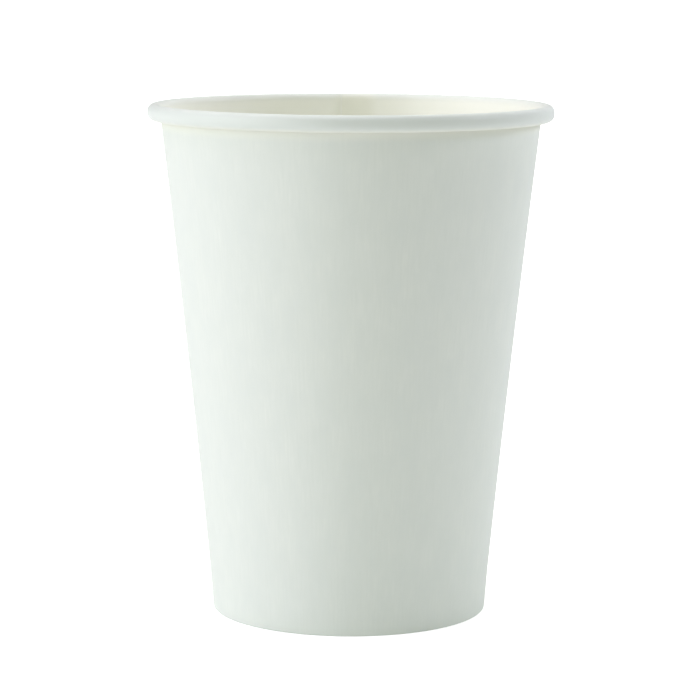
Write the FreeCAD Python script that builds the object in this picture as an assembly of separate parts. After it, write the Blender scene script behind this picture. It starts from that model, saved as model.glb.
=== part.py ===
import FreeCAD, Part
import math
import os

# Plain single-wall paper coffee cup, in millimetres
# +Z is up. The origin is on the cup's axis, on the plane that the foot stands on.
# Two pieces of coated board: a side wall, wrapped to a cone and sealed at a lap at the back (+Y),
# and a bottom disc whose edge is drawn down and held in the folded foot of the wall.

# Overall size
rim_diameter = 90.0
foot_diameter = 61.2
cup_height = 113.2

# Board
wall_board = 0.35
disc_board = 0.30
seal_gap = 0.02

# Cone of the side wall: the crimped foot is a little more upright, and the wall is slightly hollow
foot_slope = 4.5
foot_band_height = 8.6
foot_blend_radius = 40.0
wall_hollow = 0.28

# Rolled rim: as wide as four boards and the two clearances inside it need, and a little taller
roll_tuck_gap = 0.05
roll_inner_bend = 0.08
roll_drop = 0.56
roll_tuck_turn = 115.0

# Lap seam, with its width taken at the rim, and the stretches where the board climbs to and from it
lap_width = 6.4
lap_offset = 0.85
lap_ramp_width = 3.2
lap_ramp_spans = 3
# Under the roll the step inside the seam is ironed away over this height
lap_iron_height = 1.6

# Foot: the wall is folded in and up around the skirt of the disc
fold_bend = 0.05
hem_height = 6.3

# Bottom disc
disc_height = 7.8
disc_bend = 0.35
skirt_end_gap = 0.08

axis_foot = FreeCAD.Vector(0, 0, 0)
axis_up = FreeCAD.Vector(0, 0, 1)


def forward(heading):
    """Unit vector in the XZ plane; heading 0 points away from the axis and 90 points up."""
    turn = math.radians(heading)
    return FreeCAD.Vector(math.cos(turn), 0, math.sin(turn))


def rightward(heading):
    return forward(heading - 90.0)


def run(length):
    return ("run", length, 0.0)


def bend(radius, turn):
    """A bend of the path: turn is in degrees, to the left when positive."""
    return ("bend", radius, turn)


def line_beside(start, heading, moves, depth):
    """Edges of the line that keeps depth to the right of a smooth path, and its first and last points."""
    point = start + rightward(heading) * depth
    first = point
    edges = []
    for kind, size, turn in moves:
        if kind == "run":
            end = point + forward(heading) * size
            edges.append(Part.LineSegment(point, end).toShape())
        else:
            side = math.copysign(1.0, turn)
            reach = side * (size + side * depth)
            centre = point - rightward(heading) * reach
            middle = centre + rightward(heading + turn / 2) * reach
            end = centre + rightward(heading + turn) * reach
            arc = Part.Arc(point, middle, end)
            # A bend wider than the cup is kept as a spline, so that its surface ends where the arc does
            edges.append((arc.toBSpline() if size > rim_diameter else arc).toShape())
            heading = heading + turn
        point = end
    return edges, first, point


def closed_outline(near_line, far_line):
    """Outline of the board between the lines of its two faces, with a straight cut at each end."""
    near_edges, near_first, near_last = near_line
    far_edges, far_first, far_last = far_line
    end_cut = Part.LineSegment(near_last, far_last).toShape()
    start_cut = Part.LineSegment(far_first, near_first).toShape()
    return Part.Wire(near_edges + [end_cut] + far_edges[::-1] + [start_cut])


def strip_outline(path, near, far):
    """Closed outline of the board between two depths to the right of a path."""
    return closed_outline(line_beside(*path, near), line_beside(*path, far))


def turned(shape, angle):
    """A copy of a section turned about the cup's axis."""
    copy = shape.copy()
    copy.rotate(axis_foot, axis_up, angle)
    return copy


def swept(outline, from_angle, to_angle):
    """The board swept about the axis with an unchanged section."""
    face = Part.Face(turned(outline, from_angle))
    return face.revolve(axis_foot, axis_up, to_angle - from_angle)


def polar(centre, point):
    """Direction from centre to point in the XZ plane, in degrees from 0 to 360."""
    return math.degrees(math.atan2(point.z - centre.z, point.x - centre.x)) % 360.0


# Coated face of the wall at the foot: a straight line, one board inside the foot diameter
def coated_face_radius(z):
    slope = math.radians(foot_slope)
    return foot_diameter / 2 + z * math.tan(slope) - wall_board / math.cos(slope)


band_heading = 90.0 - foot_slope
band_cos = math.cos(math.radians(foot_slope))
band_sin = math.sin(math.radians(foot_slope))
pocket_width = disc_board + 2 * seal_gap

# The roll: its first bend is wide, and its tuck is narrower by the two plies of the lap
roll_tuck_radius = 2 * wall_board + roll_inner_bend
roll_radius = roll_tuck_radius + 2 * wall_board + roll_tuck_gap
roll_centre = FreeCAD.Vector(rim_diameter / 2 - roll_radius, 0, cup_height - roll_radius)

# The wall's hollow arc is tangent to the blend above the foot band and to the roll
blend_start = FreeCAD.Vector(coated_face_radius(foot_band_height), 0, foot_band_height)
wall_chord = math.hypot(rim_diameter / 2 - 2 * roll_radius - blend_start.x, roll_centre.z - blend_start.z)
wall_radius = wall_chord**2 / (8 * wall_hollow)
# The blend turns outwards where an arc straight on from the foot band would pass inside the roll
straight_on_centre = blend_start + rightward(band_heading) * wall_radius
spare_room = wall_radius - roll_radius - (roll_centre - straight_on_centre).Length
blend_side = math.copysign(1.0, spare_room)
blend_centre = blend_start + rightward(band_heading) * blend_side * foot_blend_radius


def wall_arc_centre():
    """Centre of the circle of wall_radius that is tangent to the blend circle and holds the roll inside it."""
    between = roll_centre - blend_centre
    distance = between.Length
    from_blend = wall_radius - blend_side * foot_blend_radius
    from_roll = wall_radius - roll_radius
    along = (distance**2 + from_blend**2 - from_roll**2) / (2 * distance)
    aside = math.sqrt(from_blend**2 - along**2)
    unit = between * (1 / distance)
    right_of_unit = FreeCAD.Vector(unit.z, 0, -unit.x)
    return blend_centre + unit * along + right_of_unit * aside


wall_centre = wall_arc_centre()
wall_heading_low = polar(wall_centre, blend_centre) - 90.0
wall_heading_high = polar(wall_centre, roll_centre) - 90.0
iron_heading = wall_heading_high + math.degrees(lap_iron_height / wall_radius)

# Coated face from the top of the wall, over the rim and round to the tucked edge
roll_moves = [
    bend(roll_radius, -90.0 - wall_heading_high),
    run(roll_drop),
    bend(roll_radius, -90.0),
    bend(roll_tuck_radius, -roll_tuck_turn),
]


def path_up_to(last_heading, floor):
    """Coated face of the wall board, from the top of the hem, round the foot and up the wall to a heading.

    floor is how far the fold's inside lies above the plane that the foot stands on.
    """
    fold_height = floor + fold_bend
    wall_side = coated_face_radius(fold_height) - fold_bend / band_cos
    hem_side = coated_face_radius(fold_height) - (pocket_width - fold_bend) / band_cos
    hem_top = FreeCAD.Vector(coated_face_radius(hem_height) - pocket_width / band_cos, 0, hem_height)
    hem_bottom_z = fold_height + fold_bend * band_sin
    band_bottom_z = fold_height - fold_bend * band_sin
    moves = [
        run((hem_height - hem_bottom_z) / band_cos),
        bend(fold_bend, 90.0 + foot_slope),
        run(wall_side - hem_side),
        bend(fold_bend, band_heading),
        run((foot_band_height - band_bottom_z) / band_cos),
        bend(foot_blend_radius, wall_heading_low - band_heading),
        bend(wall_radius, last_heading - wall_heading_low),
    ]
    return hem_top, band_heading + 180.0, moves


def wall_path(floor):
    """The whole coated face, from the top of the hem to the tucked edge."""
    start, heading, moves = path_up_to(wall_heading_high, floor)
    return start, heading, moves + roll_moves


def point_on_wall(heading, depth):
    """Point of the wall where its face has a heading, at a depth to the right of the coated face."""
    return wall_centre + rightward(heading) * (depth - wall_radius)


def ironed_outline(floor, depth):
    """Outline of a ply that lies at a depth on the wall, with its coated face ironed flush on the roll."""
    below, first, below_end = line_beside(*path_up_to(iron_heading, floor), depth)
    halfway = point_on_wall((iron_heading + wall_heading_high) / 2, depth / 2)
    roll_start = point_on_wall(wall_heading_high, 0.0)
    slant = Part.Arc(below_end, halfway, roll_start).toBSpline().toShape()
    over, over_start, last = line_beside(roll_start, wall_heading_high, roll_moves, 0.0)
    near_line = (below + [slant] + over, first, last)
    return closed_outline(near_line, line_beside(*wall_path(floor), depth + wall_board))


def make_side_wall():
    lap_angle = math.degrees(lap_width / (rim_diameter / 2))
    ramp_angle = math.degrees(lap_ramp_width / (rim_diameter / 2))
    lap_middle = 90.0 - math.degrees(lap_offset / (rim_diameter / 2))
    outer_edge = lap_middle - lap_angle / 2
    inner_edge = lap_middle + lap_angle / 2

    def ramp(start_angle, outline_at):
        """One ply over the width of a ramp, where outline_at gives its section for a share of the climb."""
        sections = []
        for step in range(lap_ramp_spans + 1):
            share = step / lap_ramp_spans
            eased = share * share * (3 - 2 * share)
            sections.append(turned(outline_at(eased), start_angle + ramp_angle * share))
        return Part.makeLoft(sections, True, True)

    def single_ply(floor):
        return strip_outline(wall_path(floor), 0.0, wall_board)

    def lifting(share):
        return single_ply((1 + share) * wall_board)

    def coming_in(share):
        return ironed_outline((2 - share) * wall_board, (1 - share) * wall_board)

    # The two plies of the lap are one thickness, because the coating is melted between them
    lap = swept(strip_outline(wall_path(2 * wall_board), 0.0, 2 * wall_board), outer_edge, inner_edge)
    # Next to the lap the inner ply lifts over the outer ply's fold at the foot
    over_fold = ramp(outer_edge - ramp_angle, lifting)
    # On the other side the outer ply comes down off that fold and in to the coated face
    return_in = ramp(inner_edge, coming_in)
    plain = swept(single_ply(wall_board), inner_edge + ramp_angle, outer_edge - ramp_angle + 360.0)
    return plain.fuse([over_fold, lap, return_in])


def make_bottom_disc():
    """Flat disc with its edge drawn down into a skirt, against the coated face of the wall."""
    skirt_end_z = 2 * wall_board + skirt_end_gap
    outer_bend = disc_bend + disc_board
    bend_start_z = disc_height - outer_bend - outer_bend * band_sin
    bend_start_x = coated_face_radius(bend_start_z) - seal_gap / band_cos
    skirt_length = (bend_start_z - skirt_end_z) / band_cos
    skirt_end = FreeCAD.Vector(bend_start_x, 0, bend_start_z) - forward(band_heading) * skirt_length
    flat_radius = bend_start_x - outer_bend * band_cos
    moves = [
        run(skirt_length),
        bend(outer_bend, 90.0 + foot_slope),
        run(flat_radius),
    ]
    outline = strip_outline((skirt_end, band_heading, moves), 0.0, -disc_board)
    return swept(outline, 0.0, 360.0)


os.makedirs("parts", exist_ok=True)
for name, shape in (("side_wall", make_side_wall()), ("bottom_disc", make_bottom_disc())):
    shape.exportStep(os.path.join("parts", name + ".step"))
    box = shape.optimalBoundingBox()
    print(name, "solids", len(shape.Solids), "valid", shape.isValid(), "volume", round(shape.Volume, 1))
    print("  x", round(box.XMin, 2), round(box.XMax, 2), "y", round(box.YMin, 2), round(box.YMax, 2), end="")
    print(" z", round(box.ZMin, 2), round(box.ZMax, 2))
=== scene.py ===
# %% [markdown]
# # A plain white paper cup, wrapped from one fan of board
# A hot-drink cup is made of two pieces of paperboard that are coated on one face. A fan-shaped blank is
# wrapped to a cone and sealed where its ends overlap, its top is rolled outwards, and its foot is folded
# in and up around the turned-down edge of a round bottom blank.
#
# ## The imported cup as a fixed frame
# The cup's exact solids come first, and nothing moves them. They say how large everything is, and the
# board that is modelled here has to stay inside their box.

import math

import bpy
import numpy as np
from mathutils import Matrix, Vector, noise


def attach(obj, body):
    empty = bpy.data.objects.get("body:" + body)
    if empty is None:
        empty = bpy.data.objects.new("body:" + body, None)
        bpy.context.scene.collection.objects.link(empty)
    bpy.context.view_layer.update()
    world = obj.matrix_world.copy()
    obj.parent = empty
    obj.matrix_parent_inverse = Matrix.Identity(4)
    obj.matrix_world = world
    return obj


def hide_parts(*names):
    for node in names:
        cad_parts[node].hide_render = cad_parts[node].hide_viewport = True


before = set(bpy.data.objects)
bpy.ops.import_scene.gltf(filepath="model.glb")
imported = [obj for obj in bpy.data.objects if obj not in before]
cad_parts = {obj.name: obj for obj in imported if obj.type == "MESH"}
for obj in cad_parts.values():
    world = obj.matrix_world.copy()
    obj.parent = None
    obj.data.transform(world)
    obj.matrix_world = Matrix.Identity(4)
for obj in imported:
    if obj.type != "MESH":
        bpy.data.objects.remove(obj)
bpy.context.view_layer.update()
MM = 0.001

# %% [markdown]
# ## The section of the board
# A paper cup's shape is the path of its board, seen in a cut through the axis: down the inside of the hem,
# round the fold at the foot, up the slightly hollow wall, and round the rolled rim until the edge is tucked
# away. Drawing it as a list of straight runs and bends, as a person would fold a strip, keeps every bend
# tangent to its neighbours. The numbers are the ones that the solids were made from, in millimetres.

# %% Sizes of the cup and its board
RIM_RADIUS = 45.0
CUP_HEIGHT = 113.2
FOOT_RADIUS = 30.6
FOOT_SLOPE = 4.5
BAND_HEIGHT = 8.6
BLEND_RADIUS = 40.0
WALL_HOLLOW = 0.28
BOARD = 0.35
SEAL = 0.01
PLY = BOARD - SEAL
POCKET = 0.34
FOLD_BEND = 0.05
HEM_HEIGHT = 6.3
TUCK_RADIUS = 0.78
TUCK_TURN = 115.0
ROLL_RADIUS = 1.53
ROLL_DROP = 0.56

BAND_HEADING = 90.0 - FOOT_SLOPE
BAND_COS = math.cos(math.radians(FOOT_SLOPE))
BAND_SIN = math.sin(math.radians(FOOT_SLOPE))
roll_centre = np.array([RIM_RADIUS - ROLL_RADIUS, CUP_HEIGHT - ROLL_RADIUS])


def forward(heading):
    """Unit vector in the section: heading 0 points away from the axis and 90 points up."""
    return np.array([math.cos(math.radians(heading)), math.sin(math.radians(heading))])


def rightward(heading):
    return forward(heading - 90.0)


def coated_radius(z):
    """Radius of the board's coated face on the straight band at the foot."""
    return FOOT_RADIUS + z * BAND_SIN / BAND_COS - BOARD / BAND_COS


print("rim", RIM_RADIUS, "foot", FOOT_RADIUS, "height", CUP_HEIGHT, "board", BOARD)

# %% [markdown]
# ## Where the hollow wall lies
# Between the foot and the roll the wall isn't quite straight: it sags inwards by about a quarter of a
# millimetre, which is what makes the sides of the real cup look faintly waisted. One very large circle does
# that. Its centre is found so that it touches the small blend above the foot and the roll under the rim.

# %% Find the wall's large circle
blend_start = np.array([coated_radius(BAND_HEIGHT), BAND_HEIGHT])
blend_centre = blend_start + rightward(BAND_HEADING) * BLEND_RADIUS
chord = math.dist((RIM_RADIUS - 2 * ROLL_RADIUS, roll_centre[1]), blend_start)
WALL_RADIUS = chord**2 / (8 * WALL_HOLLOW)


def wall_circle_centre():
    between = roll_centre - blend_centre
    distance = np.linalg.norm(between)
    from_blend = WALL_RADIUS - BLEND_RADIUS
    from_roll = WALL_RADIUS - ROLL_RADIUS
    along = (distance**2 + from_blend**2 - from_roll**2) / (2 * distance)
    aside = math.sqrt(from_blend**2 - along**2)
    unit = between / distance
    return blend_centre + unit * along + np.array([unit[1], -unit[0]]) * aside


def heading_where_it_meets(centre):
    """The wall's heading at the point where its circle touches a smaller one inside it."""
    dx, dz = centre - wall_centre
    return math.degrees(math.atan2(dz, dx)) % 360.0 - 90.0


wall_centre = wall_circle_centre()
WALL_LOW = heading_where_it_meets(blend_centre)
WALL_HIGH = heading_where_it_meets(roll_centre)
print("wall heading, degrees: low", round(WALL_LOW, 2), "high", round(WALL_HIGH, 2))

# %% [markdown]
# ## Points along the section
# Each run or bend is cut into a few steps: more where the board turns sharply, fewer along the wall. At every
# step the point on the coated face is kept together with the direction that points through the board, so that
# the other face, or the second layer of the seam, is the same point moved along that direction.

# %% Walk along the board


def board_moves(floor):
    """Start, heading and moves of the coated face, when the fold's inside is floor above the table."""
    fold_z = floor + FOLD_BEND
    wall_x = coated_radius(fold_z) - FOLD_BEND / BAND_COS
    hem_x = coated_radius(fold_z) - (POCKET - FOLD_BEND) / BAND_COS
    hem_top = np.array([coated_radius(HEM_HEIGHT) - POCKET / BAND_COS, HEM_HEIGHT])
    hem_run = (HEM_HEIGHT - fold_z - FOLD_BEND * BAND_SIN) / BAND_COS
    band_run = (BAND_HEIGHT - fold_z + FOLD_BEND * BAND_SIN) / BAND_COS
    moves = [
        ("hem", hem_run, 0.0, 6),
        ("fold", FOLD_BEND, 90.0 + FOOT_SLOPE, 3),
        ("fold", wall_x - hem_x, 0.0, 1),
        ("fold", FOLD_BEND, BAND_HEADING, 3),
        ("band", band_run, 0.0, 4),
        ("wall", BLEND_RADIUS, WALL_LOW - BAND_HEADING, 3),
        ("wall", WALL_RADIUS, WALL_HIGH - WALL_LOW, 13),
        ("roll", ROLL_RADIUS, -90.0 - WALL_HIGH, 16),
        ("roll", ROLL_DROP, 0.0, 1),
        ("roll", ROLL_RADIUS, -90.0, 6),
        ("tuck", TUCK_RADIUS, -TUCK_TURN, 4),
    ]
    return hem_top, BAND_HEADING + 180.0, moves


def walk(start, heading, moves):
    """Points of the coated face, the directions through the board, the path's length and its stretches."""
    point, length = np.array(start), 0.0
    points, through, lengths, places = [point], [rightward(heading)], [0.0], [moves[0][0]]
    for place, size, turn, steps in moves:
        for step in range(steps):
            if turn:
                part = turn / steps
                reach = math.copysign(size, turn)
                centre = point - rightward(heading) * reach
                heading += part
                point = centre + rightward(heading) * reach
                length += size * math.radians(abs(part))
            else:
                point = point + forward(heading) * size / steps
                length += size / steps
            points.append(point)
            through.append(rightward(heading))
            lengths.append(length)
            places.append(place)
    return np.array(points), np.array(through), np.array(lengths), places


section_points, _, section_lengths, section_places = walk(*board_moves(BOARD))
print("board from hem to tucked edge:", round(section_lengths[-1], 1), "mm in", len(section_points), "points")

# %% [markdown]
# ## The blank's two ends at the seam
# Wrapped round, the blank is a little longer than the circle. It starts with the inner end, whose cut edge
# shows inside the cup, goes once round, climbs over that edge by one board, and ends with the outer end,
# whose cut edge shows outside at the back. Modelling the sheet in that order, with real overlapping ends,
# gives both edges for free. A ring with a line drawn on it would have neither. At the foot the first layer
# passes over the fold of the second, so the two ends also differ in how high their fold lies. The tool that
# rolls the rim irons the seam almost flat there, so on the roll the inner end is thinned to a fine edge.

# %% Depth of the sheet along the seam
LAP_OFFSET = 0.85
LAP_WIDTH = 6.4
RAMP_WIDTH = 3.2
LAP_MIDDLE = 90.0 - math.degrees(LAP_OFFSET / RIM_RADIUS)
LAP_ANGLE = math.degrees(LAP_WIDTH / RIM_RADIUS)
RAMP_ANGLE = math.degrees(RAMP_WIDTH / RIM_RADIUS)
INNER_END = LAP_MIDDLE + LAP_ANGLE / 2
OUTER_END = LAP_MIDDLE - LAP_ANGLE / 2 - 360.0
CLOSE_ANGLE = 0.6
IRONED_EDGE = 0.18
COLUMNS = 720


def eased(share):
    """A share from 0 to 1 that starts and ends gently; anything outside is held at 0 or 1."""
    share = min(max(share, 0.0), 1.0)
    return share * share * (3.0 - 2.0 * share)


def from_ironed_edge(past):
    """Thickness of the ironed ply, as a share of one board, at an angle past its cut edge."""
    return IRONED_EDGE + (1.0 - IRONED_EDGE) * eased(past / RAMP_ANGLE)


def sheet_depth(angle, ironed):
    """How far the sheet lies outside the first layer: nothing, then one board at its outer end.

    On the wall it climbs before the inner end. Where the roll is ironed flat, it climbs behind it.
    """
    past = INNER_END - 360.0 - angle
    before = eased((past + RAMP_ANGLE) / RAMP_ANGLE)
    behind = eased(past / CLOSE_ANGLE + 1.0) * from_ironed_edge(past)
    return BOARD * (before + (behind - before) * ironed)


def sheet_thickness(angle, ironed):
    """One ply, but thinned towards the inner end where the roll is ironed flat."""
    thinned = BOARD * from_ironed_edge(INNER_END - angle) - SEAL
    return PLY + (thinned - PLY) * ironed


def fold_floor(angle):
    """Height of the inside of the fold: two boards in the seam, one elsewhere."""
    first = eased((angle - (INNER_END - LAP_ANGLE - RAMP_ANGLE)) / RAMP_ANGLE)
    return BOARD * (1.0 + max(first, sheet_depth(angle, 0.0) / BOARD))


column_angles = np.linspace(INNER_END, OUTER_END, COLUMNS + 1)
print("seam from", round(INNER_END, 2), "to", round(OUTER_END + 360, 2), "degrees;", COLUMNS, "columns")

# %% [markdown]
# ## Small unevenness
# A machine-made cup is never a perfect cone. The wall has very shallow waves, the rim is a hair out of round
# and out of level, and the outside of the roll has short upright wrinkles where the board was stretched over
# the curling tool. All of it only ever moves the board inwards or down, so the cup keeps within its size.
# Smooth noise that is read on a circle closes on itself, so both layers of the seam move alike.

# %% Waves in the wall, sway of the rim, wrinkles on the roll
WALL_WAVE = 0.10
RIM_SWAY = 0.09
RIM_DIP = 0.05
WRINKLE_SEED = 31
WRINKLE_COUNT = 46
WRINKLE_LEAST = 0.006
WRINKLE_VARIES = 0.016
BROAD_WAVES = 9
BROAD_HEIGHT = 60.0
NARROW_WAVES = 26
NARROW_HEIGHT = 90.0
# Angle and width in degrees, and depth in millimetres
FRONT_WRINKLES = [(256.0, 1.0, 0.045), (310.5, 1.1, 0.050)]


def round_noise(angle, knots, height, salt):
    """Smooth noise from -1 to 1 that repeats after one turn, with about knots waves round the cup.

    The salt picks another part of the noise, so that no two uses of it move together.
    """
    turn = math.radians(angle)
    reach = knots / math.tau
    return noise.noise(Vector((math.cos(turn) * reach + salt, math.sin(turn) * reach - salt, height)))


noise.seed_set(WRINKLE_SEED)
wrinkles = list(FRONT_WRINKLES)
for number in range(WRINKLE_COUNT):
    where = 360.0 * (number + 0.8 * noise.random()) / WRINKLE_COUNT
    wrinkles.append((where, 0.5 + noise.random(), WRINKLE_LEAST + WRINKLE_VARIES * noise.random()))


def wrinkle_depth(angle):
    """Depth of the roll's upright wrinkles at an angle, in millimetres."""
    total = 0.0
    for where, width, depth in wrinkles:
        apart = (angle - where + 180.0) % 360.0 - 180.0
        if abs(apart) < 3 * width:
            total += depth * math.exp(-((apart / width) ** 2))
    return total


def rim_move(angle):
    """How far the whole rim lies inwards and down at an angle."""
    inwards = RIM_SWAY * (0.55 + 0.5 * round_noise(angle, 5, 0.3, 7.1))
    down = RIM_DIP * (0.55 + 0.5 * round_noise(angle, 6, 1.7, 3.3))
    return np.array([-max(inwards, 0.01), -max(down, 0.005)])


def wall_wave(angle, z):
    """How far the wall's face lies inwards at an angle and height."""
    broad = round_noise(angle, BROAD_WAVES, z / BROAD_HEIGHT, 1.9)
    narrow = round_noise(angle, NARROW_WAVES, z / NARROW_HEIGHT, 5.2)
    return -WALL_WAVE * (0.5 + 0.5 * (0.8 * broad + 0.2 * narrow))


print(len(wrinkles), "wrinkles; rim moves in by", round(-rim_move(270.0)[0], 3), "mm at the front")

# %% [markdown]
# ## The knurled hem
# When the foot is closed, a toothed wheel runs round inside it and presses the hem, the bottom's skirt and
# the wall together. It leaves a ring of shallow upright grooves on the face that looks at the axis, seen
# only when the cup is turned over. The wheel squeezes the board thinner, so here just the hem's inner face
# moves, and the skirt behind it keeps its place.

# %% Grooves of the knurling wheel
GROOVES = 90
GROOVE_DEPTH = 0.13
GROOVE_LOW = 1.0
GROOVE_HIGH = 5.9
GROOVE_END = 0.7
GROOVE_POINTED = 1.6


def groove_depth(angle, z):
    """How deep the hem's face is pressed in at an angle and height: each groove runs out at both ends."""
    ends = eased((z - GROOVE_LOW) / GROOVE_END) * eased((GROOVE_HIGH - z) / GROOVE_END)
    wave = 0.5 + 0.5 * math.cos(math.radians(GROOVES * angle))
    return GROOVE_DEPTH * ends * wave**GROOVE_POINTED


print(GROOVES, "grooves,", round(math.tau * coated_radius(HEM_HEIGHT) / GROOVES, 2), "mm apart")

# %% [markdown]
# ## Making the wrapped wall
# Every column of the sheet is the same section, turned to its angle, with its own depth in the seam and its
# own unevenness. Two points per step, one on each face, make a closed slab with four cut edges, just like
# the paper. A solidify modifier on one face would be shorter to write, but it can't make the second layer of
# the seam lie a board further out, or the grooves press one face only.

# %% Build the sheet, column by column
COATED, BARE, CUT = 0, 1, 2
IRONED_LENGTH = 1.6
WAVE_FULL = 30.0
SWAY_START = 40.0
SWAY_FULL = CUP_HEIGHT - 5.0
BLANK_RADIUS = 38.0


def sheet_column(angle):
    """Both faces of the board at one angle, and the length along it."""
    points, through, lengths, places = walk(*board_moves(fold_floor(angle)))
    roll_start = lengths[places.index("roll")]
    in_seam = angle > INNER_END - LAP_ANGLE
    rolled = [i for i, place in enumerate(places) if place == "roll"]
    near, far = [], []
    for i, (point, way, place) in enumerate(zip(points, through, places)):
        high = eased((point[1] - BAND_HEIGHT) / WAVE_FULL)
        moved = point + rim_move(angle) * eased((point[1] - SWAY_START) / (SWAY_FULL - SWAY_START))
        if place != "hem":
            moved = moved + np.array([wall_wave(angle, min(point[1], roll_centre[1])) * high, 0.0])
        if place == "roll":
            along = (i - rolled[0]) / (len(rolled) - 1)
            moved = moved + way * wrinkle_depth(angle) * math.sin(math.pi * along) ** 0.5
        pressed = groove_depth(angle, point[1]) if place == "hem" and not in_seam else 0.0
        ironed = eased((lengths[i] - roll_start) / IRONED_LENGTH)
        depth = sheet_depth(angle, ironed)
        near.append(moved + way * depth)
        far.append(moved + way * (depth + sheet_thickness(angle, ironed) - pressed))
    return np.array(near), np.array(far), lengths


def turn_to(angle, flat_points):
    """Section points turned about the axis to an angle, in metres."""
    turn = math.radians(angle)
    radius, height = flat_points[:, 0], flat_points[:, 1]
    return np.stack([radius * math.cos(turn), radius * math.sin(turn), height], 1) * MM


def slab_faces(columns, rows):
    """Quads of a closed slab: point (column, row) of a face has the number column * rows + row."""
    size = columns * rows
    c, r = np.meshgrid(np.arange(columns - 1), np.arange(rows - 1), indexing="ij")
    a = (c * rows + r).ravel()
    near = np.stack([a, a + rows, a + rows + 1, a + 1], 1)
    far = near[:, ::-1] + size
    c = np.arange(columns - 1) * rows
    top = c + rows - 1
    r = np.arange(rows - 1)
    end = r + (columns - 1) * rows
    rims = [
        np.stack([c, c + size, c + rows + size, c + rows], 1),
        np.stack([top, top + rows, top + rows + size, top + size], 1),
        np.stack([r, r + 1, r + 1 + size, r + size], 1),
        np.stack([end, end + size, end + 1 + size, end + 1], 1),
    ]
    quads = np.concatenate([near, far] + rims)
    kinds = np.repeat([COATED, BARE, CUT], [len(near), len(far), sum(map(len, rims))])
    return quads, kinds


near_rows, far_rows, blank_rows = [], [], []
for angle in column_angles:
    near, far, lengths = sheet_column(angle)
    near_rows.append(turn_to(angle, near))
    far_rows.append(turn_to(angle, far))
    across = math.radians(INNER_END - angle) * BLANK_RADIUS
    blank_rows.append(np.stack([np.full(len(lengths), across), lengths, np.zeros(len(lengths))], 1) * MM)
print("sheet points:", 2 * len(near_rows) * len(near_rows[0]))

# %% [markdown]
# ## From points to a piece
# The piece keeps where each point lay on the flat blank, across and along the grain, because that is what the
# paper's pattern follows later: on a real cup the fibres run up the wall and over the roll. The two faces
# read places that are set a little apart, so that they don't share one pattern. Corners of more than 60
# degrees are kept sharp, which are just the cut edges, and all bends are shaded smooth.

# %% Make the wall piece
SHARP_CORNER = math.radians(60.0)
BARE_ASIDE = 50.0


def board_piece(name, points, faces, kinds, blank):
    """A piece of board: its mesh, which finish each face has, and each point's place on the blank."""
    mesh = bpy.data.meshes.new(name)
    mesh.from_pydata(points.tolist(), [], faces)
    mesh.polygons.foreach_set("material_index", kinds.astype(np.int32))
    place = mesh.attributes.new("blank", "FLOAT_VECTOR", "POINT")
    place.data.foreach_set("vector", blank.astype(np.float32).ravel())
    mesh.validate()
    mesh.shade_smooth()
    mesh.set_sharp_from_angle(angle=SHARP_CORNER)
    piece = bpy.data.objects.new(name, mesh)
    bpy.context.scene.collection.objects.link(piece)
    return piece


quads, kinds = slab_faces(len(near_rows), len(near_rows[0]))
coated_blank = np.concatenate(blank_rows)
bare_blank = coated_blank + np.array([0.0, 0.0, BARE_ASIDE * MM])
cup_wall = board_piece(
    "cup_wall",
    np.concatenate(near_rows + far_rows),
    quads.tolist(),
    kinds,
    np.concatenate([coated_blank, bare_blank]),
)
print("cup_wall:", len(cup_wall.data.polygons), "quads")

# %% [markdown]
# ## The bottom
# The bottom is a round blank whose edge is drawn down over a die. A flat disc turned into a cup has too much
# board at its edge, so it gathers in small pleats round the corner. The middle is dished a little, because
# the board relaxes downwards between its held edges. It is drawn the same way: a section, turned about the
# axis, with both faces.

# %% Section of the bottom
DISC_BOARD = 0.30
DISC_HEIGHT = 7.8
DISC_BEND = 0.35
SKIRT_END = 0.78
SKIRT_GAP = 0.02
DISC_COLUMNS = 540
DISC_DISH = 0.22
PLEATS = 64
PLEAT_DEPTH = 0.035
PLEAT_RISE = 0.5
PLEAT_END = 4.6
PLEAT_FALL = 3.6
PLEATED_RING = 4.0
MIDDLE_RADIUS = 0.2


def disc_section():
    """Outer face of the bottom's board, up the skirt, round the corner and in to the axis."""
    bend = DISC_BEND + DISC_BOARD
    bend_z = DISC_HEIGHT - bend - bend * BAND_SIN
    bend_x = coated_radius(bend_z) - SKIRT_GAP / BAND_COS
    skirt = (bend_z - SKIRT_END) / BAND_COS
    start = np.array([bend_x, bend_z]) - forward(BAND_HEADING) * skirt
    flat = bend_x - bend * BAND_COS
    moves = [
        ("skirt", skirt, 0.0, 4),
        ("corner", bend, 90.0 + FOOT_SLOPE, 7),
        ("flat", PLEATED_RING, 0.0, 8),
        ("flat", flat - PLEATED_RING - MIDDLE_RADIUS, 0.0, 10),
    ]
    return walk(start, BAND_HEADING, moves)


disc_points, disc_through, disc_lengths, disc_places = disc_section()
print("bottom blank:", round(2 * disc_lengths[-1], 1), "mm across when flat")

# %% [markdown]
# ## The dished, pleated bottom
# The pleats are noise read on a circle, which closes on itself. They move both faces alike, since it is the
# board that buckles. Both faces meet at the axis in one small round face instead of in a fan of thin
# triangles. The bottom's blank is cut beside the wall's, so its place in the paper lies well clear of the
# strip that becomes the seam.

# %% Make the bottom piece
DISC_ON_BLANK = 100.0


def pleat_depth(angle, length):
    """Depth of the gathered pleats: most at the corner, gone on the skirt and a few millimetres in."""
    corner = disc_lengths[disc_places.index("corner")]
    ends = eased((length - corner) / PLEAT_RISE) * eased((corner + PLEAT_END - length) / PLEAT_FALL)
    turn = math.radians(angle)
    wave = noise.noise(Vector((math.cos(turn), math.sin(turn), 0.2)) * (PLEATS / 6.0))
    return PLEAT_DEPTH * ends * (0.5 + wave)


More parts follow.
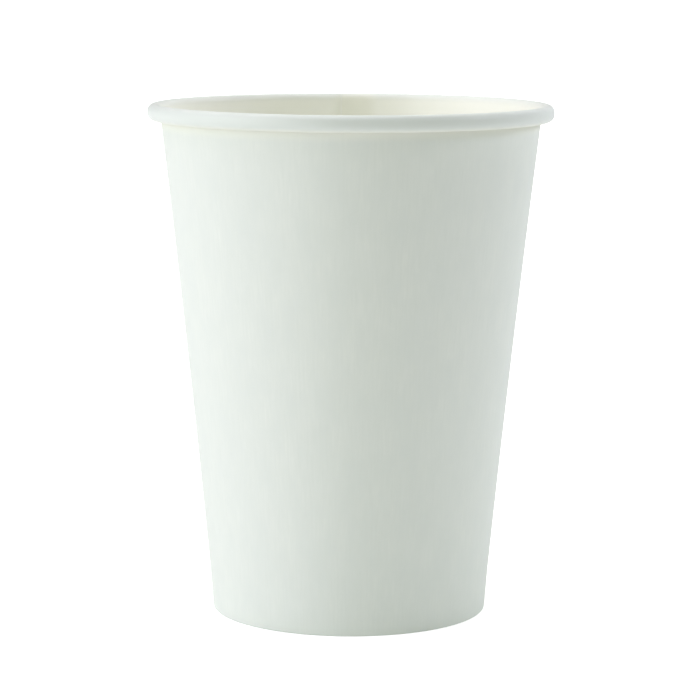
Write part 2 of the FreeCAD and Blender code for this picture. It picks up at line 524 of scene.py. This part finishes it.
def disc_column(angle):
    """Both faces of the bottom's board at one angle."""
    upper, lower = [], []
    flat_radius = disc_points[disc_places.index("flat")][0]
    for point, way, length in zip(disc_points, disc_through, disc_lengths):
        dish = DISC_DISH * (1.0 - min(point[0] / flat_radius, 1.0) ** 2)
        moved = point - np.array([0.0, dish]) - way * pleat_depth(angle, length)
        upper.append(moved)
        lower.append(moved - way * DISC_BOARD)
    return turn_to(angle, np.array(upper)), turn_to(angle, np.array(lower))


def disc_faces(columns, rows):
    """Quads that close round the axis, and one many-sided face at the middle of each side."""
    size = columns * rows
    c, r = np.meshgrid(np.arange(columns), np.arange(rows - 1), indexing="ij")
    a, b = (c * rows + r).ravel(), ((c + 1) % columns * rows + r).ravel()
    upper = np.stack([a, b, b + 1, a + 1], 1)
    lower = upper[:, ::-1] + size
    c = np.arange(columns) * rows
    d = (np.arange(columns) + 1) % columns * rows
    edge = np.stack([c, c + size, d + size, d], 1)
    middle = (c + rows - 1).tolist()
    faces = np.concatenate([upper, lower, edge]).tolist() + [middle, [i + size for i in middle[::-1]]]
    kinds = np.repeat([COATED, BARE, CUT], [len(upper), len(lower), len(edge)]).tolist() + [COATED, BARE]
    return faces, np.array(kinds)


disc_angles = np.arange(DISC_COLUMNS) * 360.0 / DISC_COLUMNS
disc_sides = [disc_column(angle) for angle in disc_angles]
upper_rows, lower_rows = zip(*disc_sides)
disc_points_all = np.concatenate(upper_rows + lower_rows)
faces, kinds = disc_faces(DISC_COLUMNS, len(disc_points))
print("bottom points:", len(disc_points_all), "lowest z, mm:", round(disc_points_all[:, 2].min() / MM, 2))

disc_blank = disc_points_all * np.array([1.0, 1.0, 0.0]) + np.array([DISC_ON_BLANK * MM, 0.0, 0.0])
disc_blank[len(disc_blank) // 2 :, 2] = BARE_ASIDE * MM
cup_bottom = board_piece("cup_bottom", disc_points_all, faces, kinds, disc_blank)
print("cup_bottom:", len(cup_bottom.data.polygons), "faces")

# %% [markdown]
# ## Marks in the paper
# White board looks plain, but it is a felt of fibres. From a hand's width away its colour is faintly
# cloudy, in patches of a few millimetres, and fine streaks run with the grain, which on a cup is up the
# wall. Both are noise read on the flat blank, stretched along the grain. An image could not be laid over the
# rim and the fold without a seam, and noise also stays sharp in a close view.

# %% Helpers for paper finishes
NOISE_LOW, NOISE_HIGH = 0.3, 0.7


def new_finish(name, roughness, specular):
    """A material, its node tree and its shader, with the values that are the same all over."""
    finish = bpy.data.materials.new(name)
    finish.use_nodes = True
    shader = finish.node_tree.nodes["Principled BSDF"]
    shader.inputs["Roughness"].default_value = roughness
    shader.inputs["Specular IOR Level"].default_value = specular
    return finish, finish.node_tree, shader


def place_on_blank(tree):
    """Where a point lay on the flat blank, in metres."""
    place = tree.nodes.new("ShaderNodeAttribute")
    place.attribute_name = "blank"
    return place.outputs["Vector"]


def across_and_along(tree):
    """The same place as two numbers: across the grain from the seam, and along it from the hem."""
    parts = tree.nodes.new("ShaderNodeSeparateXYZ")
    tree.links.new(place_on_blank(tree), parts.inputs["Vector"])
    return parts.outputs["X"], parts.outputs["Y"]


def marks(tree, across, along, detail):
    """Noise on the blank whose marks are that many millimetres across and along the grain."""
    stretch = tree.nodes.new("ShaderNodeVectorMath")
    stretch.operation = "MULTIPLY"
    stretch.inputs[1].default_value = (1 / (across * MM), 1 / (along * MM), 1 / (across * MM))
    cloud = tree.nodes.new("ShaderNodeTexNoise")
    cloud.inputs["Scale"].default_value = 1.0
    cloud.inputs["Detail"].default_value = detail
    tree.links.new(place_on_blank(tree), stretch.inputs[0])
    tree.links.new(stretch.outputs["Vector"], cloud.inputs["Vector"])
    return cloud.outputs["Fac"]


def spread(tree, value, low, high):
    """Noise gathers round a half; this stretches the part that matters to run from low to high."""
    ramp = tree.nodes.new("ShaderNodeMapRange")
    ramp.inputs["From Min"].default_value = NOISE_LOW
    ramp.inputs["From Max"].default_value = NOISE_HIGH
    ramp.inputs["To Min"].default_value = low
    ramp.inputs["To Max"].default_value = high
    tree.links.new(value, ramp.inputs["Value"])
    return ramp.outputs["Result"]


def fade(tree, place, start, end):
    """Nothing before one place on the blank, in millimetres, all of it after another, and soft between."""
    ramp = tree.nodes.new("ShaderNodeMapRange")
    ramp.interpolation_type = "SMOOTHSTEP"
    ramp.inputs["From Min"].default_value = start * MM
    ramp.inputs["From Max"].default_value = end * MM
    tree.links.new(place, ramp.inputs["Value"])
    return ramp.outputs["Result"]


def two_tones(tree, share, first, second):
    """One tone turning into the other; a tone is a colour or the output of another mix."""
    mix = tree.nodes.new("ShaderNodeMix")
    mix.data_type = "RGBA"
    tree.links.new(share, mix.inputs["Factor"])
    for socket, tone in ((mix.inputs["A"], first), (mix.inputs["B"], second)):
        if isinstance(tone, tuple):
            socket.default_value = (*tone, 1.0)
        else:
            tree.links.new(tone, socket)
    return mix.outputs["Result"]


def relief(tree, shader, heights):
    """Bumps on top of each other: each is a noise output and its height in millimetres."""
    normal = None
    for height, size in heights:
        bump = tree.nodes.new("ShaderNodeBump")
        bump.inputs["Distance"].default_value = size * MM
        tree.links.new(height, bump.inputs["Height"])
        if normal:
            tree.links.new(normal, bump.inputs["Normal"])
        normal = bump.outputs["Normal"]
    tree.links.new(normal, shader.inputs["Normal"])


print("paper helpers ready")

# %% [markdown]
# ## The bare outer face
# The outside of the board has no plastic coat. It is matt, with a fine tooth that scatters light, and its
# white is a touch cool and greenish next to the coated face. Clouds and streaks differ by a few percent only,
# because at arm's length they just break up the smooth shade of the wall. Right under the roll its white is
# painted lighter and warmer over a few millimetres: painted light that lifts the roll's shadow on the wall
# and warms it like light thrown off the creamy roll.

# %% Bare board
BARE_WHITE = (0.765, 0.804, 0.751)
BARE_SHADE = (0.730, 0.775, 0.730)
BARE_STREAK = (0.728, 0.772, 0.720)
# Painted light: a lighter, warmer white just under the roll that lifts the roll's shadow on the wall.
BARE_UNDER_ROLL_LIGHT = (0.840, 0.862, 0.770)
ROLL_START = section_lengths[section_places.index("roll")]
# Where that painted light starts and where it is full, along the blank below the roll.
UNDER_ROLL_LIGHT_FROM = ROLL_START - 5.2
UNDER_ROLL_LIGHT_FULL = ROLL_START - 2.2

bare_board, tree, shader = new_finish("bare_board", 0.85, 0.30)
clouds = spread(tree, marks(tree, across=4.0, along=7.0, detail=3.0), 0.0, 1.0)
streaks = spread(tree, marks(tree, across=0.5, along=7.0, detail=3.0), 0.0, 0.8)
ridges = marks(tree, across=0.8, along=8.0, detail=2.0)
tooth = marks(tree, across=0.16, along=0.45, detail=2.0)
along = across_and_along(tree)[1]
# Here pressed is the share of the painted light under the roll; no board is pressed there.
pressed = fade(tree, along, UNDER_ROLL_LIGHT_FROM, UNDER_ROLL_LIGHT_FULL)
cloudy = two_tones(tree, clouds, BARE_WHITE, BARE_SHADE)
streaky = two_tones(tree, streaks, cloudy, BARE_STREAK)
tree.links.new(two_tones(tree, pressed, streaky, BARE_UNDER_ROLL_LIGHT), shader.inputs["Base Color"])
tree.links.new(spread(tree, tooth, 0.80, 0.92), shader.inputs["Roughness"])
relief(tree, shader, [(ridges, 0.009), (tooth, 0.004)])
print("bare_board:", BARE_WHITE)

# %% [markdown]
# ## The coated face
# The inside and the whole outside of the roll wear a thin film of polyethylene. It is smoother than the bare
# board and a little creamy, and it has a faint orange-peel surface from being cast hot. Over the roll the
# cream fades to a darker, cooler white, which is painted shade with a painted cool reflection on the roll's
# outside. On the underside it turns lighter and warmer again: the coat's own cream, with painted light
# thrown up from the floor. In the seam, where the board is double, less light comes through from outside, so
# its tone is a little darker. How far a point lies along and across the blank decides all of that, which
# keeps each change in its place wherever the cup is seen from.

# %% Coated board
COAT_CREAM = (0.953, 0.962, 0.883)
COAT_SHADE = (0.944, 0.952, 0.869)
COAT_DOUBLE = (0.894, 0.901, 0.800)
# Painted shade with a painted cool reflection: the roll's outside, darker and cooler than the coat's cream.
ROLL_PAINTED_SHADE = (0.716, 0.765, 0.721)
# The roll's underside: the coat's cream, with painted light thrown up from the floor.
ROLL_UNDER_LIGHT = (0.840, 0.862, 0.770)
LAP_ON_BLANK = math.radians(LAP_ANGLE) * BLANK_RADIUS
CREAM_UNTIL = ROLL_START - 1.0
# Where the painted shade on the roll is full and where it ends, and where the painted floor light is full.
ROLL_SHADE_FROM = ROLL_START + 2.2
ROLL_SHADE_UNTIL = ROLL_START + 5.4
UNDER_LIGHT_FROM = ROLL_START + 7.0

coated_board, tree, shader = new_finish("coated_board", 0.45, 0.5)
clouds = spread(tree, marks(tree, across=5.0, along=8.0, detail=3.0), 0.0, 1.0)
ridges = marks(tree, across=0.7, along=7.0, detail=2.0)
peel = marks(tree, across=1.3, along=2.2, detail=2.0)
across, along = across_and_along(tree)
single = fade(tree, across, LAP_ON_BLANK - 0.5, LAP_ON_BLANK + 2.7)
# Shares along the blank: the roll's painted shade, then the painted floor light on its underside.
rolled = fade(tree, along, CREAM_UNTIL, ROLL_SHADE_FROM)
under = fade(tree, along, ROLL_SHADE_UNTIL, UNDER_LIGHT_FROM)
cream = two_tones(tree, clouds, COAT_CREAM, COAT_SHADE)
inside = two_tones(tree, single, COAT_DOUBLE, cream)
outside = two_tones(tree, under, ROLL_PAINTED_SHADE, ROLL_UNDER_LIGHT)
tree.links.new(two_tones(tree, rolled, inside, outside), shader.inputs["Base Color"])
tree.links.new(spread(tree, peel, 0.40, 0.52), shader.inputs["Roughness"])
relief(tree, shader, [(peel, 0.004), (ridges, 0.003)])
print("coated_board: cream up to", round(ROLL_START, 1), "mm along the blank")

# %% [markdown]
# ## The cut edges
# Where the blank was cut, its three layers of fibre show: rough, without any coat, and a little greyer
# because the open edge takes up dust. A real cup maker hides these edges where they can, so only the two ends
# of the seam are seen. The layers are a fine noise.

# %% Cut edge
CUT_WHITE = (0.77, 0.78, 0.75)
CUT_GREY = (0.66, 0.67, 0.64)

cut_edge, tree, shader = new_finish("cut_edge", 0.95, 0.2)
layers = marks(tree, across=0.12, along=0.5, detail=3.0)
layered = two_tones(tree, spread(tree, layers, 0.0, 1.0), CUT_WHITE, CUT_GREY)
tree.links.new(layered, shader.inputs["Base Color"])
relief(tree, shader, [(layers, 0.02)])

for piece in (cup_wall, cup_bottom):
    for finish in (coated_board, bare_board, cut_edge):
        piece.data.materials.append(finish)
print("cut_edge; both pieces have", len(cup_wall.data.materials), "finishes")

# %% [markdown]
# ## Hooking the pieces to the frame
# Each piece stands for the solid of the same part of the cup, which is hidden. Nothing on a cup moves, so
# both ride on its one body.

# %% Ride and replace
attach(cup_wall, "root")
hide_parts("side_wall")
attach(cup_bottom, "root")
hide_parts("bottom_disc")
print("cup_wall stands for side_wall, cup_bottom for bottom_disc")

# %% [markdown]
# ## The floor
# The floor is matt and white, and what it throws back lights the foot and the roll from below. In the
# photograph it is burnt out to pure white right up to the foot. A floor lit that strongly would burn out the
# foot as well, so it keeps its own light and soft shadow for the cup, and glows strongly only where it is
# looked at, just as the white backdrop does. It ends in front of the camera, because a floor that went on
# would throw more light on the front of the wall than the photograph shows.

# %% Floor
FLOOR_SIZE = 12.0
FLOOR_FRONT = 0.45
FLOOR_WHITE = (0.80, 0.81, 0.81)
FLOOR_GLOW = 0.13
FLOOR_LIFT = 0.50

floor_mesh = bpy.data.meshes.new("floor")
half = FLOOR_SIZE / 2
corners = [(-half, -FLOOR_FRONT, 0), (half, -FLOOR_FRONT, 0), (half, half, 0), (-half, half, 0)]
floor_mesh.from_pydata(corners, [], [(0, 1, 2, 3)])
floor = bpy.data.objects.new("floor", floor_mesh)
bpy.context.scene.collection.objects.link(floor)
floor_paint, tree, shader = new_finish("floor_paint", 0.9, 0.0)
shader.inputs["Base Color"].default_value = (*FLOOR_WHITE, 1.0)
shader.inputs["Emission Color"].default_value = (1.0, 1.0, 1.0, 1.0)
seen = tree.nodes.new("ShaderNodeLightPath")
glow = tree.nodes.new("ShaderNodeMath")
glow.operation = "MULTIPLY_ADD"
glow.inputs[1].default_value = FLOOR_LIFT
glow.inputs[2].default_value = FLOOR_GLOW
tree.links.new(seen.outputs["Is Camera Ray"], glow.inputs[0])
tree.links.new(glow.outputs["Value"], shader.inputs["Emission Strength"])
floor_mesh.materials.append(floor_paint)
print("floor:", FLOOR_SIZE, "m wide")

# %% [markdown]
# ## The lights
# A white object on white is drawn by light alone. The wall in the photograph is brightest at its left edge,
# darkest a little right of the middle, and opens again towards the right. So the main light stands low at the
# left, and weaker ones reach the cup from the right, from behind and from above. They are suns with a very
# wide angle, which act like soft boxes that are far away, so the floor is lit alike everywhere. A few lamps
# behind real diffusers would do the same, but their light would fall off along the floor.

# %% Lights
# Name, side in degrees to the right of the front, height and width in degrees, strength, colour
SUNS = [
    ("front_left", -65.0, 6.0, 60.0, 2.45, (0.99, 1.00, 0.98)),
    ("front_right", 45.0, 30.0, 60.0, 0.45, (0.88, 1.00, 0.60)),
    ("right", 90.0, 30.0, 25.0, 1.06, (0.86, 0.83, 1.00)),
    ("behind_right", 135.0, 10.0, 60.0, 1.05, (0.91, 0.94, 1.00)),
    ("above_left", -90.0, 60.0, 60.0, 1.60, (0.90, 0.87, 1.00)),
    ("above_behind", 180.0, 55.0, 60.0, 1.22, (1.00, 0.95, 0.87)),
]

BACKDROP = (1.1, 1.1, 1.1, 1.0)

for name, side, height, width, strength, colour in SUNS:
    lamp = bpy.data.lights.new(name, "SUN")
    lamp.energy = strength
    lamp.angle = math.radians(width)
    lamp.color = colour
    sun = bpy.data.objects.new(name, lamp)
    turn, rise = math.radians(side), math.radians(height)
    towards = Vector((math.sin(turn) * math.cos(rise), -math.cos(turn) * math.cos(rise), math.sin(rise)))
    sun.rotation_euler = towards.to_track_quat("Z", "Y").to_euler()
    bpy.context.scene.collection.objects.link(sun)

world = bpy.data.worlds.new("studio")
world.use_nodes = True
tree = world.node_tree
backdrop = tree.nodes["Background"]
backdrop.inputs["Color"].default_value = BACKDROP
seen = tree.nodes.new("ShaderNodeLightPath")
tree.links.new(seen.outputs["Is Camera Ray"], backdrop.inputs["Strength"])
bpy.context.scene.world = world
bpy.context.scene.view_settings.view_transform = "Standard"
print(len(SUNS), "soft lights and a white backdrop")

# %% [markdown]
# ## The camera
# The photograph was taken with a long lens from a little above the rim, so the mouth is a thin ellipse and
# the sides hardly converge. The place and angles come from fitting the cup's outline, not from trying by eye.

# %% Camera
CAMERA_BACK = 0.6157
CAMERA_UP = 0.1473
CAMERA_DOWN = math.degrees(0.1438)
CAMERA_TILT = math.degrees(0.0044)
LENS = 142.99
SENSOR = 36.0

camera_data = bpy.data.cameras.new("camera")
camera_data.lens = LENS
camera_data.sensor_width = SENSOR
camera_data.clip_start = 0.05
camera_data.clip_end = 50.0
camera = bpy.data.objects.new("camera", camera_data)
bpy.context.scene.collection.objects.link(camera)
place = Matrix.Translation((0.0, -CAMERA_BACK, CAMERA_UP))
down = Matrix.Rotation(math.radians(90.0 - CAMERA_DOWN), 4, "X")
tilt = Matrix.Rotation(math.radians(CAMERA_TILT), 4, "Z")
camera.matrix_world = place @ down @ tilt
bpy.context.scene.camera = camera
print("camera", CAMERA_BACK, "m away, looking down", round(CAMERA_DOWN, 2), "degrees")
